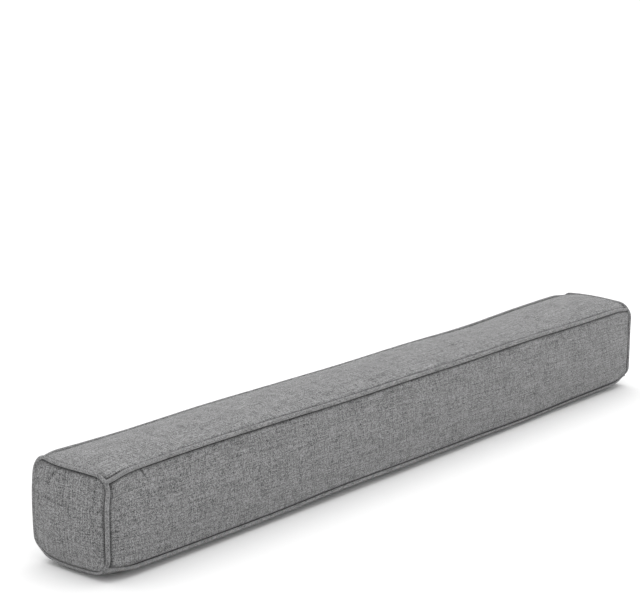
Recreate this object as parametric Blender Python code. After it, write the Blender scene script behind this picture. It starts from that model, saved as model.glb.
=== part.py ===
"""A draught excluder: a long, square, filled cushion with piping sewn into every edge.

X runs along the cushion, -Y is its front and +Z is up. The origin is on the surface that
it lies on, below its middle. Lengths are in metres, and in millimetres inside the tables.
"""

import math
from collections import namedtuple

import bmesh
import bpy
from mathutils import Vector

# Driving dimensions
LENGTH = 0.900  # over the pipings of the two ends
SIDE = 0.100  # over the long pipings, in width and in height
PIPING = 0.005  # diameter
GAP = 0.0003  # between a piping and whatever it touches
LIFT = 0.0045  # from the surface to the lower pipings, where they run straight
BACK_CROWN = 0.006
BOTTOM_CROWN = 0.010  # before the surface flattens it
END_CROWN = 0.0075
CROWN_POWER = 3.5  # a higher power is flatter in the middle and steeper at the seams
END_CROWN_POWER = 2.5
SLACK = 1.3  # taken off the power where the top is less full
CROWN_REACH = 0.025  # the long panels swell up over about this length from each end
BOW_REACH = 0.030
CORNER_REACH = 0.018  # the long edges keep the rounding of the end's corners this far
PULL_REACH = 0.020

MM = 0.001
RADIUS = PIPING / 2
HALF = SIDE / 2 - RADIUS  # from the middle of the section to the centre of a piping
MIDDLE = LIFT + SIDE / 2  # height of the middle of the section
REACH = LENGTH / 2 - RADIUS  # from the middle of the length to an end piping's centre
INSET = 1 - math.sqrt(0.5)  # of a corner's radius, from its sharp corner to its arc, along Y or Z

# Mesh density
PANEL_CUTS = 8
CUTS_FROM_END = (0.005, 0.011, 0.018, 0.027, 0.040, 0.060)
EVEN_CUTS = 22
RING_POINTS = 11
LONG_POINTS = 26
PIPING_ROUND = 2  # bevel resolution

# The corners of the two square ends: side of the middle along X, Y and Z, radius of the
# piping there, and how far the filling has moved the corner.
Corner = namedtuple("Corner", "end y z radius moved_x moved_y moved_z")
CORNERS = (
    Corner(-1, -1, +1, 16, +2.5, -2.5, -1.0),
    Corner(-1, -1, -1, 18, +0.5, -1.0, -0.8),
    Corner(-1, +1, -1, 18, +1.0, 0.0, +1.5),
    Corner(-1, +1, +1, 15, +2.0, -1.0, +3.5),
    Corner(+1, -1, +1, 16, +1.0, -1.0, 0.0),
    Corner(+1, -1, -1, 16, +1.2, +1.0, 0.0),
    Corner(+1, +1, -1, 17, -1.0, -1.0, +0.5),
    Corner(+1, +1, +1, 8, -1.0, -0.5, -0.4),
)

# Even stations from the left end to the right: how far each long piping lies above its
# straight line, and how far the top and the front panels swell.
Station = namedtuple("Station", "front_top front_bottom back_bottom back_top top front")
STATIONS = (
    Station(-1.5, +0.6, 0.0, -2.0, 9.0, 6.0),
    Station(+0.5, -0.6, -0.8, -3.5, 10.5, 7.0),
    Station(+0.2, -1.0, -1.2, -2.0, 11.0, 6.5),
    Station(-1.2, +0.6, -0.4, -2.5, 11.5, 6.0),
    Station(-0.8, -0.3, -0.6, -3.0, 11.5, 6.0),
    Station(-1.0, -0.8, -1.2, -2.0, 11.5, 6.0),
    Station(+0.2, -2.0, -1.6, -2.6, 10.5, 6.5),
    Station(-0.9, -0.6, -0.8, +0.8, 11.5, 6.0),
    Station(-0.3, 0.0, 0.0, +2.8, 13.0, 6.0),
)
SEAMS = {"front_top": (-1, +1), "front_bottom": (-1, -1), "back_bottom": (+1, -1), "back_top": (+1, +1)}

# The four long panels: the corners that they run between, and how far the piping bows
# out along that side of the left and the right end.
Panel = namedtuple("Panel", "start finish left_bow right_bow")
PANELS = {
    "top": Panel((+1, +1), (-1, +1), 0.5, 2.3),
    "front": Panel((-1, +1), (-1, -1), 1.2, 0.5),
    "bottom": Panel((-1, -1), (+1, -1), 3.5, 2.0),
    "back": Panel((+1, -1), (+1, +1), 1.0, 1.0),
}

CLOTH = (0.26, 0.26, 0.262)
PIPING_CLOTH = (0.28, 0.28, 0.282)


def clear_scene():
    for obj in list(bpy.data.objects):
        bpy.data.objects.remove(obj, do_unlink=True)


def new_collection(name):
    collection = bpy.data.collections.new(name)
    bpy.context.scene.collection.children.link(collection)
    return collection


def cloth_material(name, colour):
    material = bpy.data.materials.new(name)
    material.use_nodes = True
    shader = material.node_tree.nodes["Principled BSDF"]
    shader.inputs["Base Color"].default_value = (*colour, 1.0)
    shader.inputs["Roughness"].default_value = 0.9
    shader.inputs["Metallic"].default_value = 0.0
    return material


# The shape: a regular piped box, then the pull of its filling and seams


def at_station(column, x):
    """A column of STATIONS at x, as a smooth curve through its rows."""
    rows = [getattr(row, column) for row in STATIONS]
    rows = [2 * rows[0] - rows[1], *rows, 2 * rows[-1] - rows[-2]]
    spans = len(STATIONS) - 1
    along = min(max(x / LENGTH + 0.5, 0.0), 1.0) * spans
    step = min(int(along), spans - 1)
    before, start, finish, after = rows[step : step + 4]
    f = along - step
    bend = 2 * before - 5 * start + 4 * finish - after
    turn = 3 * (start - finish) + after - before
    return start + 0.5 * f * (finish - before + f * (bend + f * turn))


def from_end(x):
    return max(REACH - abs(x), 0.0)


def corner_radius(x, y_side, z_side):
    """The rounding of a long edge, which fades away from the end."""
    end = -1 if x < 0 else 1
    for corner in CORNERS:
        if (corner.end, corner.y, corner.z) == (end, y_side, z_side):
            return corner.radius * MM * math.exp(-((from_end(x) / CORNER_REACH) ** 2))


def settled(point):
    """Where a point of the regular box goes once the cushion is filled."""
    moved = Vector(point)
    for corner in CORNERS:
        home = Vector((corner.end * REACH, corner.y * HALF, MIDDLE + corner.z * HALF))
        pull = math.exp(-((point - home).length_squared) / PULL_REACH**2)
        moved += Vector((corner.moved_x, corner.moved_y, corner.moved_z)) * MM * pull
    for name, (y_side, z_side) in SEAMS.items():
        share_y = (1 + y_side * point.y / HALF) / 2
        share_z = (1 + z_side * (point.z - MIDDLE) / HALF) / 2
        moved.z += at_station(name, point.x) * MM * share_y * share_z
    return moved


def crown_height(name, x):
    if name == "back":
        return BACK_CROWN
    if name == "bottom":
        return BOTTOM_CROWN
    return at_station(name, x) * MM


def crown_power(name, x, t):
    """The top is less full towards the back near the right end."""
    if name != "top" or t > 0.5:
        return CROWN_POWER
    return CROWN_POWER - SLACK * min(max((x - 0.08) / 0.15, 0.0), 1.0)


def across_panel(name, x, t, crowned=True):
    """The point of a long panel at x, t of the way from its first seam to its second."""
    panel = PANELS[name]
    start = Vector((0.0, panel.start[0] * HALF, MIDDLE + panel.start[1] * HALF))
    finish = Vector((0.0, panel.finish[0] * HALF, MIDDLE + panel.finish[1] * HALF))
    out = (start + finish) / 2 - Vector((0.0, 0.0, MIDDLE))
    out.normalize()
    width = (finish - start).length
    first, last = corner_radius(x, *panel.start), corner_radius(x, *panel.finish)
    first_arc, last_arc = first * math.pi / 4, last * math.pi / 4
    reached = t * (first_arc + width - first - last + last_arc)
    left = first_arc + width - first - last + last_arc - reached
    if reached < first_arc:
        angle = math.pi / 4 - reached / first
        along, drop = first - first * math.sin(angle), first - first * math.cos(angle)
    elif left < last_arc:
        angle = math.pi / 4 - left / last
        along, drop = width - last + last * math.sin(angle), last - last * math.cos(angle)
    else:
        along, drop = first + reached - first_arc, 0.0
    bow = panel.left_bow if x < 0 else panel.right_bow
    middle_share = 1 - (2 * along / width - 1) ** 2
    rise = bow * MM * middle_share * math.exp(-((from_end(x) / BOW_REACH) ** 2))
    if crowned:
        swell = 1 - math.exp(-from_end(x) / CROWN_REACH)
        rise += crown_height(name, x) * swell * (1 - abs(2 * t - 1) ** crown_power(name, x, t))
    point = start + (finish - start) * (along / width) + out * (rise - drop)
    point.x = x
    return point


def across_end(end, u, v):
    """The point of an end panel, where u and v run from -1 to 1 along Y and along Z."""
    x = end * REACH
    front, back = across_panel("front", x, (1 - v) / 2), across_panel("back", x, (1 + v) / 2)
    bottom, top = across_panel("bottom", x, (1 + u) / 2), across_panel("top", x, (1 - u) / 2)
    low_front, low_back = across_panel("bottom", x, 0.0), across_panel("bottom", x, 1.0)
    high_front, high_back = across_panel("top", x, 1.0), across_panel("top", x, 0.0)
    a, b = (1 + u) / 2, (1 + v) / 2
    sides = front.lerp(back, a) + bottom.lerp(top, b)
    point = sides - low_front.lerp(low_back, a).lerp(high_front.lerp(high_back, a), b)
    bulge = (1 - abs(u) ** END_CROWN_POWER) * (1 - abs(v) ** END_CROWN_POWER)
    point.x += end * END_CROWN * bulge
    return point


# The cushion


def cut_places():
    """The crosswise cuts of the cushion: close together near its ends, then even."""
    near = [REACH - distance for distance in CUTS_FROM_END]
    step = 2 * near[-1] / EVEN_CUTS
    even = [-near[-1] + step * index for index in range(1, EVEN_CUTS)]
    return sorted([-place for place in near] + even + near)


def make_cushion(collection):
    """A box with its faces cut into a grid, each point moved onto the filled shape."""
    mesh = bpy.data.meshes.new("cushion")
    shape = bmesh.new()
    bmesh.ops.create_cube(shape, size=2.0)
    cuts = [(Vector((place / REACH, 0.0, 0.0)), Vector((1.0, 0.0, 0.0))) for place in cut_places()]
    for index in range(1, PANEL_CUTS):
        place = 2 * index / PANEL_CUTS - 1
        cuts.append((Vector((0.0, place, 0.0)), Vector((0.0, 1.0, 0.0))))
        cuts.append((Vector((0.0, 0.0, place)), Vector((0.0, 0.0, 1.0))))
    for place, direction in cuts:
        geometry = shape.verts[:] + shape.edges[:] + shape.faces[:]
        bmesh.ops.bisect_plane(shape, geom=geometry, plane_co=place, plane_no=direction)
    edge = 1 - 1e-5
    for vertex in shape.verts:
        x, u, v = vertex.co
        if abs(x) > edge:
            point = across_end(round(x), u, v)
        elif v > edge:
            point = across_panel("top", x * REACH, (1 - u) / 2)
        elif v < -edge:
            point = across_panel("bottom", x * REACH, (1 + u) / 2)
        elif u < 0:
            point = across_panel("front", x * REACH, (1 - v) / 2)
        else:
            point = across_panel("back", x * REACH, (1 + v) / 2)
        vertex.co = settled(point)
        vertex.co.z = max(vertex.co.z, 0.0)
    bmesh.ops.recalc_face_normals(shape, faces=shape.faces)
    shape.to_mesh(mesh)
    shape.free()
    cushion = bpy.data.objects.new("cushion", mesh)
    collection.objects.link(cushion)
    cushion.data.materials.append(cloth_material("woven_cloth", CLOTH))
    cushion.data.shade_smooth()
    cushion.data.set_sharp_from_angle(angle=math.radians(40))
    return cushion


# The piping


def ring_path(end):
    """The centre of the piping round an end panel."""
    path = []
    for name in PANELS:
        for index in range(RING_POINTS):
            point = across_panel(name, end * REACH, index / RING_POINTS, crowned=False)
            path.append(settled(point))
    return path


def on_long_edge(seam, x):
    """The centre of a long piping at x. It dips into the rounded corners at its ends."""
    y_side, z_side = SEAMS[seam]
    across = HALF - corner_radius(x, y_side, z_side) * INSET
    return settled(Vector((x, y_side * across, MIDDLE + z_side * across)))


def long_path(seam):
    """The centre of a long piping, from one end piping to the other."""
    reach = REACH - RADIUS - GAP
    turns = [math.pi * index / (LONG_POINTS - 1) for index in range(LONG_POINTS)]
    return [on_long_edge(seam, -reach * math.cos(turn)) for turn in turns]


def make_piping(collection, name, path, radius, closed):
    curve = bpy.data.curves.new(name, "CURVE")
    curve.dimensions = "3D"
    curve.bevel_depth = radius
    curve.bevel_resolution = PIPING_ROUND
    curve.use_fill_caps = not closed
    spline = curve.splines.new("POLY")
    spline.points.add(len(path) - 1)
    for place, point in zip(spline.points, path):
        place.co = (*point, 1.0)
    spline.use_cyclic_u = closed
    piping = bpy.data.objects.new(name, curve)
    collection.objects.link(piping)
    return piping


def cut_groove(cushion, collection, name, path, closed):
    """Cuts the seat of a piping into the cushion, a gap wider than the piping."""
    curve = make_piping(collection, name + "_curve", path, RADIUS + GAP, closed)
    graph = bpy.context.evaluated_depsgraph_get()
    mesh = bpy.data.meshes.new_from_object(curve.evaluated_get(graph))
    shape = bmesh.new()
    shape.from_mesh(mesh)
    bmesh.ops.remove_doubles(shape, verts=shape.verts, dist=GAP / 10)
    bmesh.ops.recalc_face_normals(shape, faces=shape.faces)
    shape.to_mesh(mesh)
    shape.free()
    cutter = bpy.data.objects.new(name, mesh)
    cutter.matrix_world = curve.matrix_world
    collection.objects.link(cutter)
    bpy.data.objects.remove(curve, do_unlink=True)
    cutter.hide_render = True
    cutter.display_type = "WIRE"
    groove = cushion.modifiers.new(name, "BOOLEAN")
    groove.operation = "DIFFERENCE"
    groove.solver = "EXACT"
    groove.object = cutter


def main():
    clear_scene()
    parts = new_collection("draught_excluder")
    cutters = new_collection("cutters")
    cushion = make_cushion(parts)
    piping_cloth = cloth_material("piping_cloth", PIPING_CLOTH)
    for name, end in (("piping_left_end", -1), ("piping_right_end", +1)):
        path = ring_path(end)
        make_piping(parts, name, path, RADIUS, closed=True).data.materials.append(piping_cloth)
        cut_groove(cushion, cutters, "groove_of_" + name, path, closed=True)
    for seam in SEAMS:
        name = "piping_" + seam
        path = long_path(seam)
        make_piping(parts, name, path, RADIUS, closed=False).data.materials.append(piping_cloth)
        path = [on_long_edge(seam, -REACH), *path, on_long_edge(seam, REACH)]
        cut_groove(cushion, cutters, "groove_of_" + name, path, closed=False)


main()
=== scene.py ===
"""The looks of a draught excluder: a long cushion in grey woven cloth, with a piped edge.

X runs along the cushion, -Y is its front and +Z is up. Lengths are in metres, and in
millimetres inside the tables.
"""

import math
from collections import namedtuple
from functools import lru_cache

import bmesh
import bpy
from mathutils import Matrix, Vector, noise


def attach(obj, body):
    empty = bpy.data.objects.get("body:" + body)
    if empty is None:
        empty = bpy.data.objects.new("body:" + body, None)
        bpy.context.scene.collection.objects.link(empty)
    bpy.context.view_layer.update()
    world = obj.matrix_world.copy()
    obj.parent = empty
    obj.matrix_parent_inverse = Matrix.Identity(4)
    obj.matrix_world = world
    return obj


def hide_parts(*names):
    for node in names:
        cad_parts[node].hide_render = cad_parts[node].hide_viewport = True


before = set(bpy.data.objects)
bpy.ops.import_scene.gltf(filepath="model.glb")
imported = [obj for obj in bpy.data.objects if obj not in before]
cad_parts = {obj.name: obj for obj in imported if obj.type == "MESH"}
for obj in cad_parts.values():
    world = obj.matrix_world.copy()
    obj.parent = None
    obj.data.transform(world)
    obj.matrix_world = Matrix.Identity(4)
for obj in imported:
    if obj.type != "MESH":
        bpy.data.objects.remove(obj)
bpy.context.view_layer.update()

# The pattern that the panels are cut to, the same as in the solids
MM = 0.001
LENGTH = 0.900  # over the pipings of the two ends
SIDE = 0.100  # over the long pipings, in width and in height
PIPING = 0.005  # diameter
LIFT = 0.0045  # from the surface to the lower pipings, where they run straight
BACK_CROWN = 0.006
BOTTOM_CROWN = 0.010  # before the surface flattens it
END_CROWN = 0.0075
CROWN_POWER = 3.5  # a higher power is flatter in the middle and steeper at the seams
END_CROWN_POWER = 2.5
SLACK = 1.3  # taken off the power where the top is less full
SLACK_FROM = 0.08  # the top starts to be less full here, and is wholly so SLACK_OVER further right
SLACK_OVER = 0.15
CROWN_REACH = 0.025  # the long panels swell up over about this length from each end
BOW_REACH = 0.030
CORNER_REACH = 0.018  # the long edges keep the rounding of the end's corners this far
PULL_REACH = 0.020
RADIUS = PIPING / 2
HALF = SIDE / 2 - RADIUS  # from the middle of the section to the centre of a piping
MIDDLE = LIFT + SIDE / 2  # height of the middle of the section
REACH = LENGTH / 2 - RADIUS  # from the middle of the length to an end piping's centre
INSET = 1 - math.sqrt(0.5)  # of a corner's radius, from its sharp corner to its arc, along Y or Z

# The corners of the two square ends: side of the middle along X, Y and Z, radius of the
# piping there, and how far the filling has moved the corner.
Corner = namedtuple("Corner", "end y z radius moved_x moved_y moved_z")
CORNERS = (
    Corner(-1, -1, +1, 16, +2.5, -2.5, -1.0),
    Corner(-1, -1, -1, 18, +0.5, -1.0, -0.8),
    Corner(-1, +1, -1, 18, +1.0, 0.0, +1.5),
    Corner(-1, +1, +1, 15, +2.0, -1.0, +3.5),
    Corner(+1, -1, +1, 16, +1.0, -1.0, 0.0),
    Corner(+1, -1, -1, 16, +1.2, +1.0, 0.0),
    Corner(+1, +1, -1, 17, -1.0, -1.0, +0.5),
    Corner(+1, +1, +1, 8, -1.0, -0.5, -0.4),
)

# Even stations from the left end to the right: how far each long piping lies above its
# straight line, and how far the top and the front panels swell.
Station = namedtuple("Station", "front_top front_bottom back_bottom back_top top front")
STATIONS = (
    Station(-1.5, +0.6, 0.0, -2.0, 9.0, 6.0),
    Station(+0.5, -0.6, -0.8, -3.5, 10.5, 7.0),
    Station(+0.2, -1.0, -1.2, -2.0, 11.0, 6.5),
    Station(-1.2, +0.6, -0.4, -2.5, 11.5, 6.0),
    Station(-0.8, -0.3, -0.6, -3.0, 11.5, 6.0),
    Station(-1.0, -0.8, -1.2, -2.0, 11.5, 6.0),
    Station(+0.2, -2.0, -1.6, -2.6, 10.5, 6.5),
    Station(-0.9, -0.6, -0.8, +0.8, 11.5, 6.0),
    Station(-0.3, 0.0, 0.0, +2.8, 13.0, 6.0),
)
SEAMS = {"front_top": (-1, +1), "front_bottom": (-1, -1), "back_bottom": (+1, -1), "back_top": (+1, +1)}

# The four long panels: the corners that they run between, and how far the piping bows
# out along that side of the left and the right end.
Panel = namedtuple("Panel", "start finish left_bow right_bow")
PANELS = {
    "top": Panel((+1, +1), (-1, +1), 0.5, 2.3),
    "front": Panel((-1, +1), (-1, -1), 1.2, 0.5),
    "bottom": Panel((-1, -1), (+1, -1), 3.5, 2.0),
    "back": Panel((+1, -1), (+1, +1), 1.0, 1.0),
}

# How the cloth turns in beside a piping: how deep its stitching lies, and how far from the
# seam the cloth of each panel starts to dip, at its first and last seam and at the two ends
SEAM_DEPTH = 0.0022
SEAM_TURN = 0.0015
FULL_DIP = 1.5  # a dip of less reach than this is shallower as well
UNDER_WIDENS = 0.25  # how much wider the front's lower dip is where its seam is rolled under
EDGE = 1 - 1e-5  # of the grid's half size: past this, a point is on the face there
Dip = namedtuple("Dip", "start finish left right")
DIPS = {
    "top": Dip(4.0, 3.6, 5.2, 1.4),
    "front": Dip(4.0, 3.6, 5.8, 0.8),
    "bottom": Dip(3.4, 3.4, 3.4, 3.4),
    "back": Dip(3.6, 3.6, 5.4, 3.4),
}
EndDip = namedtuple("EndDip", "back front top bottom")
END_DIPS = {-1: EndDip(0.05, 6.0, 4.1, 3.8), +1: EndDip(3.4, 3.4, 3.0, 3.4)}

# How the cushion's weight moves its lower seams, along X, Y and Z. The front's sits proud at
# the left, and from UNDER_FROM towards the right it is rolled under, which adds UNDER_MOVE.
FRONT_PROUD = (0.0, -2.8, 0.9)
UNDER_MOVE = (0.0, 4.2, -1.7)
SEAM_MOVES = {"back_bottom": (0.0, -1.5, 0.5), "left_end": (0.6, 0.0, 0.6), "right_end": (0.0, 0.0, 0.6)}
UNDER_FROM = -0.02
UNDER_OVER = 0.30
UNDER_FADES = 0.6  # how much less it is rolled under at the very end
UNDER_FADE_REACH = 0.025
ROLL_REACH = 0.008  # how much of the cloth beside the seam goes with it

# The filling: its lumps and the puckers at the seams, each as high as height in millimetres
# and as long as along and across in metres
Ripple = namedtuple("Ripple", "height along across seed")
LUMPS = (Ripple(0.55, 0.055, 0.040, 0), Ripple(0.22, 0.017, 0.015, 5))
PUCKERS_ACROSS = Ripple(0.34, 0.0075, 0.045, 9)
PUCKERS_ALONG = Ripple(0.34, 0.045, 0.0075, 13)
PUCKER_REACH = 0.012
LUMPS_FROM_SEAM = 0.009
PUCKERS_FROM_SEAM = 0.0035

# How far the filling may press the cloth out, and where the cloth is held: near a seam, in
# the seam itself, and where it rests on the surface
FILL_CAP = 0.003
FILL_PRESSURE = 4.0
FILL_STEPS = 20
HELD_REACH = 0.010
HELD_SEAM = 0.12
HELD_HEIGHT = 0.0008

# The mesh: distances from a seam of the first rows of cells, then even cells
ROWS_FROM_SEAM = (1.2, 2.4, 3.6, 5.0, 7.0, 10.0, 14.0)
EVEN_ROWS = 9
EVEN_COLUMNS = 172

# The small folds of the cloth: their two ends on the cut panels and how wide they are, in
# millimetres, and the painted light (above 0) or painted shade (below 0) along each, which also raises
# or sinks it in the bump
Fold = namedtuple("Fold", "x y far_x far_y width shade")
FOLDS = (
    Fold(-403.8, 1845.5, -396.0, 1833.0, 1.3, -0.26),
    Fold(-401.0, 1846.0, -389.5, 1822.0, 1.1, +0.26),
    Fold(-406.8, 1843.0, -399.5, 1831.0, 1.0, +0.20),
    Fold(45.6, -188.8, 28.9, -175.6, 1.7, -0.24),
    Fold(44.0, -192.5, 30.0, -180.0, 1.4, +0.20),
    Fold(14.6, -168.0, 11.8, -203.5, 1.8, -0.24),
)

# Camera
VIEW_TURN = 49.94  # degrees, from +Y towards +X
VIEW_DROP = 12.64
VIEW_FROM = (-1.5539, -1.2281, 0.6228)
LENS = 106.31  # on a film 36 mm wide
FILM = 36.0

# Light and floor
WORLD_LIGHT = 1.01
SUN_LIGHT = 1.38
SUN_WIDTH = 70.0  # degrees
SUN_TILT = (-9.0, 9.0, 0.0)
SOFTBOX_LIGHT = 2.5
SOFTBOX_SIZE = 1.0
SOFTBOX_FROM = (0.9, -1.9, 1.2)
SOFTBOX_TILT = (60.0, 0.0, 22.0)
FLOOR_SIZE = 12.0
FLOOR_DROP = 0.0003  # the floor is this much below the surface that the cushion rests on


# The shape of the panels


def clamped(value):
    return min(max(value, 0.0), 1.0)


@lru_cache(maxsize=None)
def at_station(column, x):
    """A column of STATIONS at x, as a smooth curve through its rows."""
    rows = [getattr(row, column) for row in STATIONS]
    rows = [2 * rows[0] - rows[1], *rows, 2 * rows[-1] - rows[-2]]
    spans = len(STATIONS) - 1
    along = clamped(x / LENGTH + 0.5) * spans
    step = min(int(along), spans - 1)
    before, start, finish, after = rows[step : step + 4]
    f = along - step
    bend = 2 * before - 5 * start + 4 * finish - after
    turn = 3 * (start - finish) + after - before
    return start + 0.5 * f * (finish - before + f * (bend + f * turn))


def from_end(x):
    return max(REACH - abs(x), 0.0)


@lru_cache(maxsize=None)
def corner_radius(x, y_side, z_side):
    """The rounding of a long edge, which fades away from the end."""
    end = -1 if x < 0 else 1
    for corner in CORNERS:
        if (corner.end, corner.y, corner.z) == (end, y_side, z_side):
            return corner.radius * MM * math.exp(-((from_end(x) / CORNER_REACH) ** 2))


def settled(point):
    """Where a point of the regular box goes once the cushion is filled."""
    moved = Vector(point)
    if from_end(point.x) < 4 * PULL_REACH:
        for corner in CORNERS:
            home = Vector((corner.end * REACH, corner.y * HALF, MIDDLE + corner.z * HALF))
            pull = math.exp(-((point - home).length_squared) / PULL_REACH**2)
            moved += Vector((corner.moved_x, corner.moved_y, corner.moved_z)) * MM * pull
    for name, (y_side, z_side) in SEAMS.items():
        share_y = (1 + y_side * point.y / HALF) / 2
        share_z = (1 + z_side * (point.z - MIDDLE) / HALF) / 2
        moved.z += at_station(name, round(point.x, 6)) * MM * share_y * share_z
    return moved


def crown_height(name, x):
    if name == "back":
        return BACK_CROWN
    if name == "bottom":
        return BOTTOM_CROWN
    return at_station(name, x) * MM


def crown_power(name, x, t):
    """The top is less full towards the back near the right end."""
    if name != "top" or t > 0.5:
        return CROWN_POWER
    return CROWN_POWER - SLACK * clamped((x - SLACK_FROM) / SLACK_OVER)


def panel_out(name):
    """The direction that a long panel faces."""
    panel = PANELS[name]
    return Vector((0.0, panel.start[0] + panel.finish[0], panel.start[1] + panel.finish[1])).normalized()


def across_panel(name, x, t, crowned=True):
    """The point of a long panel at x, t of the way from its first seam to its second."""
    panel = PANELS[name]
    start = Vector((0.0, panel.start[0] * HALF, MIDDLE + panel.start[1] * HALF))
    finish = Vector((0.0, panel.finish[0] * HALF, MIDDLE + panel.finish[1] * HALF))
    width = (finish - start).length
    first, last = corner_radius(x, *panel.start), corner_radius(x, *panel.finish)
    first_arc, last_arc = first * math.pi / 4, last * math.pi / 4
    reached = t * (first_arc + width - first - last + last_arc)
    left = first_arc + width - first - last + last_arc - reached
    if reached < first_arc:
        angle = math.pi / 4 - reached / first
        along, drop = first - first * math.sin(angle), first - first * math.cos(angle)
    elif left < last_arc:
        angle = math.pi / 4 - left / last
        along, drop = width - last + last * math.sin(angle), last - last * math.cos(angle)
    else:
        along, drop = first + reached - first_arc, 0.0
    bow = panel.left_bow if x < 0 else panel.right_bow
    middle_share = 1 - (2 * along / width - 1) ** 2
    rise = bow * MM * middle_share * math.exp(-((from_end(x) / BOW_REACH) ** 2))
    if crowned:
        swell = 1 - math.exp(-from_end(x) / CROWN_REACH)
        rise += crown_height(name, x) * swell * (1 - abs(2 * t - 1) ** crown_power(name, x, t))
    point = start + (finish - start) * (along / width) + panel_out(name) * (rise - drop)
    point.x = x
    return point


def across_end(end, u, v):
    """The point of an end panel, where u and v run from -1 to 1 along Y and along Z."""
    x = end * REACH
    front, back = across_panel("front", x, (1 - v) / 2), across_panel("back", x, (1 + v) / 2)
    bottom, top = across_panel("bottom", x, (1 + u) / 2), across_panel("top", x, (1 - u) / 2)
    low_front, low_back = across_panel("bottom", x, 0.0), across_panel("bottom", x, 1.0)
    high_front, high_back = across_panel("top", x, 1.0), across_panel("top", x, 0.0)
    a, b = (1 + u) / 2, (1 + v) / 2
    sides = front.lerp(back, a) + bottom.lerp(top, b)
    point = sides - low_front.lerp(low_back, a).lerp(high_front.lerp(high_back, a), b)
    bulge = (1 - abs(u) ** END_CROWN_POWER) * (1 - abs(v) ** END_CROWN_POWER)
    point.x += end * END_CROWN * bulge
    return point


# The seams and the unevenness of the filling


def fading(distance, reach):
    return math.exp(-((distance / reach) ** 2))


def under_share(x):
    """How far the front's lower seam is rolled under."""
    fade = 1 - UNDER_FADES * fading(from_end(x), UNDER_FADE_REACH)
    return clamped((x - UNDER_FROM) / UNDER_OVER) * fade


def roll(name, point, share):
    """How the cushion's weight moves a lower seam."""
    move = SEAM_MOVES.get(name, (0.0, 0.0, 0.0))
    if name == "front_bottom":
        under = under_share(point.x)
        move = [proud + added * under for proud, added in zip(FRONT_PROUD, UNDER_MOVE)]
    return Vector(move) * MM * share


def seam_dip(distances, reaches):
    """How deep a panel's cloth dips, from its distances to its four seams."""
    flat = 1.0
    for distance, reach in zip(distances, reaches):
        flat *= 1 - min(reach / FULL_DIP, 1.0) * fading(distance, reach * MM)
    return SEAM_DEPTH * (1 - flat)


def ripple(kind, along, across, seed):
    place = Vector((along / kind.along, across / kind.across, seed + kind.seed))
    return kind.height * noise.noise(place)


def unevenness(seed, along, across, distances):
    """The filling's lumps, and the puckers where the cloth is gathered into a seam."""
    nearest = min(distances)
    first, second, left, right = distances
    lumps = sum(ripple(kind, along, across, seed) for kind in LUMPS)
    crosswise = ripple(PUCKERS_ACROSS, along, across, seed)
    lengthwise = ripple(PUCKERS_ALONG, along, across, seed)
    puckers = crosswise * math.exp(-min(first, second) / PUCKER_REACH)
    puckers += lengthwise * math.exp(-min(left, right) / PUCKER_REACH)
    lumps *= 1 - fading(nearest, LUMPS_FROM_SEAM)
    puckers *= 1 - fading(nearest, PUCKERS_FROM_SEAM)
    return MM * (lumps + puckers)


def end_cloth(end, u, v):
    """A point of an end panel's cloth, the way it faces, its distances to its seams, its dip."""
    distances = [(1 - u) * HALF, (1 + u) * HALF, (1 - v) * HALF, (1 + v) * HALF]
    out = Vector((end, 0.0, 0.0))
    point = across_end(end, u, v)
    point += out * unevenness(20 + end, v * HALF, u * HALF, distances)
    return point, out, distances, seam_dip(distances, END_DIPS[end])


def long_cloth(name, x, t):
    """The same for a long panel, t of the way from its first seam to its second."""
    along = x * REACH
    distances = [t * 2 * HALF, (1 - t) * 2 * HALF, (x + 1) * REACH, (1 - x) * REACH]
    reaches = DIPS[name]
    if name == "front":
        reaches = reaches._replace(finish=reaches.finish * (1 + UNDER_WIDENS * under_share(along)))
    out = panel_out(name)
    point = across_panel(name, round(along, 7), t)
    point += out * unevenness(list(PANELS).index(name), along, t * 2 * HALF, distances)
    return point, out, distances, seam_dip(distances, reaches)


def panel_at(u, v):
    """The long panel that a point of the grid belongs to, and how far across it the point is."""
    if v > EDGE:
        return "top", (1 - u) / 2
    if v < -EDGE:
        return "bottom", (1 + u) / 2
    if u < 0:
        return "front", (1 - v) / 2
    return "back", (1 + v) / 2


def cushion_point(x, u, v, slack=0.0):
    """Where a point of the grid on a box of +-1 goes, and how deep it is in a seam, from 0 to 1."""
    pulled = [1.0, 1.0, 1.0]
    if abs(x) > EDGE:
        end = round(x)
        point, out, distances, dip = end_cloth(end, u, v)
        if u > 0:
            pulled[1] = min(END_DIPS[end].back / FULL_DIP, 1.0)
    else:
        name, t = panel_at(u, v)
        point, out, distances, dip = long_cloth(name, x, t)
    point -= out * dip
    for distance in distances:
        slack *= 1 - fading(distance, HELD_REACH)
    point -= out * slack
    turned = Vector((x * REACH, u * HALF, v * HALF))
    for axis, half in enumerate((REACH, HALF, HALF)):
        if abs(out[axis]) < 0.5:
            side = math.copysign(1.0, turned[axis])
            turn = fading(half - abs(turned[axis]), SEAM_TURN)
            point[axis] -= side * SEAM_DEPTH * pulled[axis] * turn
    for name in ("front_bottom", "back_bottom"):
        y_side = SEAMS[name][0]
        from_seam = math.hypot(turned.y - y_side * HALF, turned.z + HALF)
        point += roll(name, point, fading(from_seam, ROLL_REACH))
    point = settled(point)
    point.z = max(point.z, 0.0)
    return point, dip / SEAM_DEPTH


def rows_across(half, even):
    """Cuts from -1 to 1, close together beside both seams."""
    near = [half - row * MM for row in ROWS_FROM_SEAM]
    step = 2 * near[-1] / even
    middle = [-near[-1] + step * index for index in range(1, even)]
    return [place / half for place in [-place for place in near] + middle + near[::-1]]


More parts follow.
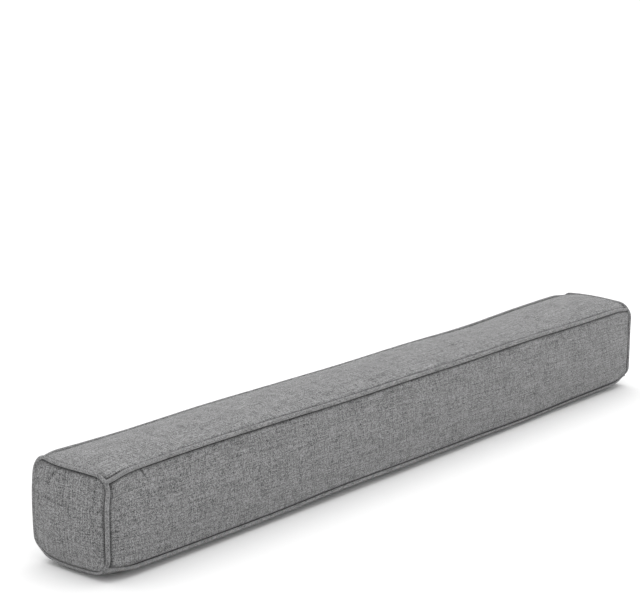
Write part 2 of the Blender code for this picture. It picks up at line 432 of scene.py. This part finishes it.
def fill_cushion(cushion, held):
    """Lets the filling press the cloth outwards while its seams and its underside are held."""
    vertices = cushion.data.vertices
    group = cushion.vertex_groups.new(name="held")
    group.add([index for index, fixed in enumerate(held) if fixed], 1.0, "REPLACE")
    slack = [vertex.co.copy() for vertex in vertices]
    filling = cushion.modifiers.new("filling", "CLOTH")
    settings = filling.settings
    settings.vertex_group_mass = "held"
    settings.quality = 6
    settings.mass = 0.15
    settings.tension_stiffness = 12.0
    settings.compression_stiffness = 12.0
    settings.shear_stiffness = 4.0
    settings.bending_stiffness = 0.3
    settings.use_pressure = True
    settings.uniform_pressure_force = FILL_PRESSURE
    settings.shrink_min = -0.005
    settings.effector_weights.gravity = 0.0
    filling.collision_settings.use_collision = False
    filling.point_cache.frame_start = 1
    filling.point_cache.frame_end = FILL_STEPS
    for step in range(1, FILL_STEPS + 1):
        bpy.context.scene.frame_set(step)
    graph = bpy.context.evaluated_depsgraph_get()
    pressed = [vertex.co.copy() for vertex in cushion.evaluated_get(graph).data.vertices]
    cushion.modifiers.remove(filling)
    cushion.vertex_groups.remove(group)
    bpy.context.scene.frame_set(1)
    for vertex, before, after in zip(vertices, slack, pressed):
        move = after - before
        if move.length > FILL_CAP:
            move *= FILL_CAP / move.length
        vertex.co = before + move
        vertex.co.z = max(vertex.co.z, 0.0)


def make_cushion():
    """A box with its faces cut into a fine grid, each point moved onto the filled shape."""
    mesh = bpy.data.meshes.new("cushion_cover")
    shape = bmesh.new()
    weave = shape.loops.layers.uv.new("weave")
    crease = shape.edges.layers.float.new("crease_edge")
    seam = shape.verts.layers.float.new("seam")
    bmesh.ops.create_cube(shape, size=2.0)
    across = rows_across(HALF, EVEN_ROWS)
    cuts = [((place, 0, 0), (1, 0, 0)) for place in rows_across(REACH, EVEN_COLUMNS)]
    cuts += [((0, place, 0), (0, 1, 0)) for place in across]
    cuts += [((0, 0, place), (0, 0, 1)) for place in across]
    for place, direction in reversed(cuts):
        geometry = shape.verts[:] + shape.edges[:] + shape.faces[:]
        bmesh.ops.bisect_plane(shape, geom=geometry, plane_co=place, plane_no=direction)
    for face in shape.faces:
        normal = face.normal
        for loop in face.loops:
            x, u, v = loop.vert.co
            if abs(normal.x) > 0.5:
                loop[weave].uv = (v * HALF, u * HALF + 0.2 * normal.x)
            elif abs(normal.z) > 0.5:
                loop[weave].uv = (x * REACH, u * HALF + 0.2 * normal.z + 1.0)
            else:
                loop[weave].uv = (x * REACH, v * HALF + 0.2 * normal.y + 2.0)
    for edge in shape.edges:
        if edge.calc_face_angle() > 1.0:
            edge[crease] = 1.0
    slack = FILL_CAP
    for vertex in shape.verts:
        vertex.co, vertex[seam] = cushion_point(*vertex.co, slack)
    held = [vertex[seam] > HELD_SEAM or vertex.co.z < HELD_HEIGHT for vertex in shape.verts]
    shape.to_mesh(mesh)
    shape.free()
    cushion = bpy.data.objects.new("cushion_cover", mesh)
    bpy.context.scene.collection.objects.link(cushion)
    mesh.shade_smooth()
    fill_cushion(cushion, held)
    finer = cushion.modifiers.new("finer", "SUBSURF")
    finer.levels = 1
    finer.render_levels = 1
    return cushion


# The piping

CORD_RADIUS = 0.0021  # of the covered cord, which its seam leaves a little slack
RING_POINTS = 40
LONG_POINTS = 260
PIPING_ROUND = 6
BIAS = math.sqrt(0.5)  # the covering is cut at 45 degrees to its yarns
UNEVEN_CORD = 0.05  # of its radius, over about UNEVEN_OVER of its length
UNEVEN_OVER = 0.012

# A piping is pressed thinner near the surface and in the left end's top seam: the heights where
# it starts, over how much more it grows to the whole share, and the shares of the radius
LOW_UNDER = 0.022
LOW_OVER = 0.012
HIGH_ABOVE = 0.085
HIGH_OVER = 0.015
PRESSED_LOW = 0.15
PRESSED_UNDER = 0.33
PRESSED_RING = 0.22
PRESSED_HIGH = 0.15
LEFT_RISES = 0.0006
LEFT_FRONT_MOVE = (0.6, 0.5, 0.0)  # of the left end's upright piping at the front


def ring_path(end):
    """The centre of the piping round an end panel."""
    path = []
    for name in PANELS:
        for index in range(RING_POINTS):
            point = across_panel(name, end * REACH, index / RING_POINTS, crowned=False)
            path.append(settled(point))
    return path


def on_long_edge(seam, x):
    """The centre of a long piping at x. It dips into the rounded corners at its ends."""
    y_side, z_side = SEAMS[seam]
    across = HALF - corner_radius(x, y_side, z_side) * INSET
    return settled(Vector((x, y_side * across, MIDDLE + z_side * across)))


def long_path(seam):
    """The centre of a long piping, from one end piping to the other, its points closer at its ends."""
    path = []
    for index in range(LONG_POINTS):
        step = index / (LONG_POINTS - 1)
        eased = 0.35 * step + 0.65 * (3 - 2 * step) * step**2
        path.append(on_long_edge(seam, -REACH * math.cos(math.pi * eased)))
    return path


def rolled(name, point):
    """Where a piping lies once the cushion's weight has rolled it, and how thin it is pressed."""
    low = clamped((LOW_UNDER - point.z) / LOW_OVER)
    moved = point + roll(name, point, low)
    thin = 1 - PRESSED_LOW * low - PRESSED_UNDER * low * under_share(point.x)
    if name not in SEAMS:
        high = clamped((point.z - HIGH_ABOVE) / HIGH_OVER) if name == "left_end" else 0.0
        moved.z += LEFT_RISES * high
        thin -= PRESSED_HIGH * high + PRESSED_RING * low
        if name == "left_end" and point.y < 0:
            moved += Vector(LEFT_FRONT_MOVE) * MM * (1 - low) * (1 - high)
    moved.z += (1 - thin) * CORD_RADIUS * low
    return moved, thin


def make_piping(name, path, closed, seed):
    curve = bpy.data.curves.new(name + "_guide", "CURVE")
    curve.dimensions = "3D"
    curve.bevel_depth = CORD_RADIUS
    curve.bevel_resolution = PIPING_ROUND
    curve.use_fill_caps = not closed
    spline = curve.splines.new("POLY")
    spline.points.add(len(path) - 1)
    for place, point in zip(spline.points, path):
        moved, thin = rolled(name, point)
        place.co = (*moved, 1.0)
        place.radius = thin + UNEVEN_CORD * noise.noise(point / UNEVEN_OVER + Vector((seed, 0, 0)))
    spline.use_cyclic_u = closed
    guide = bpy.data.objects.new(name + "_guide", curve)
    bpy.context.scene.collection.objects.link(guide)
    graph = bpy.context.evaluated_depsgraph_get()
    mesh = bpy.data.meshes.new_from_object(guide.evaluated_get(graph))
    bpy.data.objects.remove(guide, do_unlink=True)
    mesh.name = "cord_" + name
    length = sum((after - before).length for before, after in zip(path, path[1:]))
    weave = mesh.uv_layers[0]
    weave.name = "weave"
    for place in weave.data:
        along, around = place.uv.x * length, place.uv.y * math.tau * CORD_RADIUS
        place.uv = (BIAS * (along + around), BIAS * (around - along) + seed)
    shape = bmesh.new()
    shape.from_mesh(mesh)
    bmesh.ops.remove_doubles(shape, verts=shape.verts, dist=1e-5)
    bmesh.ops.recalc_face_normals(shape, faces=shape.faces)
    shape.to_mesh(mesh)
    shape.free()
    piping = bpy.data.objects.new("cord_" + name, mesh)
    bpy.context.scene.collection.objects.link(piping)
    mesh.shade_smooth()
    return piping


# The cloth

YARN = 0.0008  # from one yarn to the next
YARN_WANDERS = 0.0012
YARN_HEIGHT = 0.0005
DARK_GREY = (0.040, 0.040, 0.041, 1.0)
LIGHT_GREY = (0.325, 0.325, 0.327, 1.0)
# The piping is the same cloth as the panels; its lighter grey is painted light for the extra light that
# its rounded cord catches
PIPING_PAINTED_LIGHT_GREY = (0.350, 0.350, 0.353, 1.0)
# Painted shade: the near-black that the cloth is darkened towards where it dips into a seam
SEAM_SHADE_GREY = (0.012, 0.012, 0.012, 1.0)


class Value:
    """A socket of a material. Arithmetic on it adds Math nodes."""

    def __init__(self, cloth, socket):
        self.cloth = cloth
        self.socket = socket

    def math(self, operation, *others):
        return self.cloth.add("ShaderNodeMath", {"operation": operation}, [self, *others])

    def __add__(self, other):
        return self.math("ADD", other)

    def __sub__(self, other):
        return self.math("SUBTRACT", other)

    def __mul__(self, other):
        return self.math("MULTIPLY", other)

    def __truediv__(self, other):
        return self.math("DIVIDE", other)

    def __rsub__(self, other):
        return self.cloth.add("ShaderNodeMath", {"operation": "SUBTRACT"}, [other, self])

    def __rtruediv__(self, other):
        return self.cloth.add("ShaderNodeMath", {"operation": "DIVIDE"}, [other, self])

    def clamped(self):
        return self.math("MINIMUM", 1.0).math("MAXIMUM", 0.0)

    __radd__ = __add__
    __rmul__ = __mul__


class Cloth:
    """A material, with one method that adds a node and gives back its first output."""

    def __init__(self, name):
        self.material = bpy.data.materials.new(name)
        self.material.use_nodes = True
        self.tree = self.material.node_tree
        self.surface = self.tree.nodes["Principled BSDF"]

    def feed(self, socket, value):
        if isinstance(value, Value):
            self.tree.links.new(value.socket, socket)
        else:
            socket.default_value = value

    def add(self, kind, settings, inputs, output=0):
        """inputs is a list in the order of the sockets, or a dictionary by their names."""
        node = self.tree.nodes.new(kind)
        for name, value in settings.items():
            setattr(node, name, value)
        named = inputs.items() if isinstance(inputs, dict) else enumerate(inputs)
        for name, value in named:
            self.feed(node.inputs[name], value)
        return Value(self, node.outputs[output])

    def noise(self, place, scale, detail=2.0, roughness=0.5):
        inputs = {"Vector": place, "Scale": scale, "Detail": detail, "Roughness": roughness}
        return self.add("ShaderNodeTexNoise", {}, inputs) - 0.5

    def place(self, x, y, z=0.0):
        return self.add("ShaderNodeCombineXYZ", {}, [x, y, z])

    def mix(self, share, first, second):
        """A colour between two colours."""
        node = self.tree.nodes.new("ShaderNodeMix")
        node.data_type = "RGBA"
        node.clamp_factor = True
        self.feed(node.inputs[0], share)
        self.feed(node.inputs[6], first)
        self.feed(node.inputs[7], second)
        return Value(self, node.outputs[2])


def folded(along, across, fold):
    """1 along a fold, and 0 away from it."""
    run_x, run_y = (fold.far_x - fold.x) * MM, (fold.far_y - fold.y) * MM
    x, y = along - fold.x * MM, across - fold.y * MM
    share = ((x * run_x + y * run_y) / (run_x**2 + run_y**2)).clamped()
    off_x, off_y = x - share * run_x, y - share * run_y
    off = (off_x * off_x + off_y * off_y) / (fold.width * MM) ** 2
    return 1 / (1 + off * off)


def woven(name, lightest, mixture, folds_and_painted_seam_shade):
    """A plain weave of thick and thin yarns, in mixed greys. It is painted with shade where the cloth
    dips into a seam, and with light and shade along its folds.

    along and across are metres of cloth, so what multiplies them is a number for each metre.
    """
    cloth = Cloth(name)
    uv = cloth.add("ShaderNodeUVMap", {"uv_map": "weave"}, [])
    along = cloth.add("ShaderNodeSeparateXYZ", {}, [uv], 0)
    across = cloth.add("ShaderNodeSeparateXYZ", {}, [uv], 1)
    warp = (across + cloth.noise(uv, 40.0) * YARN_WANDERS) / YARN
    weft = (along + cloth.noise(uv, 47.0) * YARN_WANDERS) / YARN
    warp_yarn = warp.math("FLOOR")
    weft_yarn = weft.math("FLOOR")
    warp_round = 1 - ((warp - warp_yarn) * 2 - 1).math("POWER", 2.0)
    weft_round = 1 - ((weft - weft_yarn) * 2 - 1).math("POWER", 2.0)
    warp_height = warp_round * (((weft + warp_yarn) * math.pi).math("SINE") * 0.4 + 0.6)
    weft_height = weft_round * (((warp + weft_yarn + 1) * math.pi).math("SINE") * 0.4 + 0.6)
    height = warp_height.math("MAXIMUM", weft_height)
    on_top = warp_height.math("GREATER_THAN", weft_height)
    warp_tone = cloth.noise(cloth.place(along * 90.0, warp_yarn * 7.31), 1.0, 2.0, 0.6)
    weft_tone = cloth.noise(cloth.place(weft_yarn * 7.31, across * 110.0, 4.0), 1.0, 2.0, 0.6)
    yarn_tone = on_top * warp_tone + (1 - on_top) * weft_tone
    crossing = cloth.place(warp_yarn, weft_yarn)
    speck = cloth.add("ShaderNodeTexWhiteNoise", {"noise_dimensions": "2D"}, {"Vector": crossing}) - 0.5
    slubs = cloth.noise(cloth.place(along * 20.0, across * 720.0, 8.0), 1.0, 2.0, 0.6)
    cross_slubs = cloth.noise(cloth.place(along * 720.0, across * 40.0, 12.0), 1.0, 2.0, 0.6)
    fibres = cloth.noise(uv, 1500.0, 2.0, 0.7)
    patches = cloth.noise(uv, 22.0, 2.0)
    tone = yarn_tone * 1.3 + speck * 0.95 + slubs * 1.1 + cross_slubs * 0.8 + fibres * 1.4
    # height * 0.35 is painted light on the raised yarns and painted shade in the gaps between them
    tone = tone * mixture + patches * 0.05 + height * 0.35 + 0.28
    relief = height + yarn_tone * 0.45 + fibres * 0.3
    if folds_and_painted_seam_shade:
        # Painted light and shade along the folds: each fold lightens or darkens the colour, and the same
        # amount raises or sinks the bump
        for fold in FOLDS:
            shade = folded(along, across, fold) * fold.shade
            tone = tone + shade
            relief = relief + shade * 2.0
    colour = cloth.mix(tone, DARK_GREY, lightest)
    if folds_and_painted_seam_shade:
        # Painted shade: the cloth is darkened towards a near-black grey where it dips into a seam, the
        # more the deeper it dips
        seam = cloth.add("ShaderNodeAttribute", {"attribute_name": "seam"}, [], 2)
        groove_shade = ((seam - 0.2) * 2.4).clamped()
        colour = cloth.mix(groove_shade * 0.82, colour, SEAM_SHADE_GREY)
    bump = cloth.tree.nodes.new("ShaderNodeBump")
    bump.inputs["Strength"].default_value = 0.45
    bump.inputs["Distance"].default_value = YARN_HEIGHT
    cloth.feed(bump.inputs["Height"], relief)
    cloth.feed(cloth.surface.inputs["Base Color"], colour)
    cloth.feed(cloth.surface.inputs["Normal"], Value(cloth, bump.outputs[0]))
    cloth.surface.inputs["Roughness"].default_value = 0.92
    cloth.surface.inputs["Specular IOR Level"].default_value = 0.15
    cloth.surface.inputs["Sheen Weight"].default_value = 0.22
    cloth.surface.inputs["Sheen Roughness"].default_value = 0.5
    return cloth.material


# Floor, light and camera


def make_floor():
    mesh = bpy.data.meshes.new("floor")
    shape = bmesh.new()
    bmesh.ops.create_grid(shape, x_segments=1, y_segments=1, size=FLOOR_SIZE)
    bmesh.ops.translate(shape, verts=shape.verts, vec=(0.0, 0.0, -FLOOR_DROP))
    shape.to_mesh(mesh)
    shape.free()
    floor = bpy.data.objects.new("floor", mesh)
    bpy.context.scene.collection.objects.link(floor)
    paper = bpy.data.materials.new("white_paper")
    paper.use_nodes = True
    surface = paper.node_tree.nodes["Principled BSDF"]
    surface.inputs["Base Color"].default_value = (0.85, 0.85, 0.85, 1.0)
    surface.inputs["Roughness"].default_value = 0.95
    mesh.materials.append(paper)


def place_light(name, light, place, tilt):
    lamp = bpy.data.objects.new(name, light)
    lamp.location = place
    lamp.rotation_euler = [math.radians(turn) for turn in tilt]
    bpy.context.scene.collection.objects.link(lamp)


def make_light():
    world = bpy.data.worlds.new("studio")
    world.use_nodes = True
    background = world.node_tree.nodes["Background"]
    background.inputs["Color"].default_value = (1.0, 1.0, 1.0, 1.0)
    background.inputs["Strength"].default_value = WORLD_LIGHT
    bpy.context.scene.world = world
    overhead = bpy.data.lights.new("overhead", "SUN")
    overhead.energy = SUN_LIGHT
    overhead.angle = math.radians(SUN_WIDTH)
    place_light("overhead", overhead, (0.0, 0.0, 0.0), SUN_TILT)
    softbox = bpy.data.lights.new("softbox", "AREA")
    softbox.size = SOFTBOX_SIZE
    softbox.energy = SOFTBOX_LIGHT
    place_light("softbox", softbox, SOFTBOX_FROM, SOFTBOX_TILT)


def make_camera():
    camera = bpy.data.cameras.new("camera")
    camera.sensor_fit = "HORIZONTAL"
    camera.sensor_width = FILM
    camera.lens = LENS
    camera.clip_end = 50.0
    holder = bpy.data.objects.new("camera", camera)
    holder.location = VIEW_FROM
    holder.rotation_euler = (math.radians(90 - VIEW_DROP), 0.0, math.radians(-VIEW_TURN))
    bpy.context.scene.collection.objects.link(holder)
    bpy.context.scene.camera = holder


def main():
    make_camera()
    make_floor()
    make_light()
    bpy.context.scene.view_settings.view_transform = "Standard"
    cushion = make_cushion()
    cushion.data.materials.append(woven("woven_cloth", LIGHT_GREY, 0.9, folds_and_painted_seam_shade=True))
    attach(cushion, "root")
    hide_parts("cushion")
    cloth = woven("piping_cloth", PIPING_PAINTED_LIGHT_GREY, 0.6, folds_and_painted_seam_shade=False)
    paths = {"left_end": (ring_path(-1), True), "right_end": (ring_path(+1), True)}
    for seam in SEAMS:
        paths[seam] = (long_path(seam), False)
    for seed, (name, (path, closed)) in enumerate(paths.items()):
        piping = make_piping(name, path, closed, seed)
        piping.data.materials.append(cloth)
        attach(piping, "root")
        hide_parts("piping_" + name)


main()
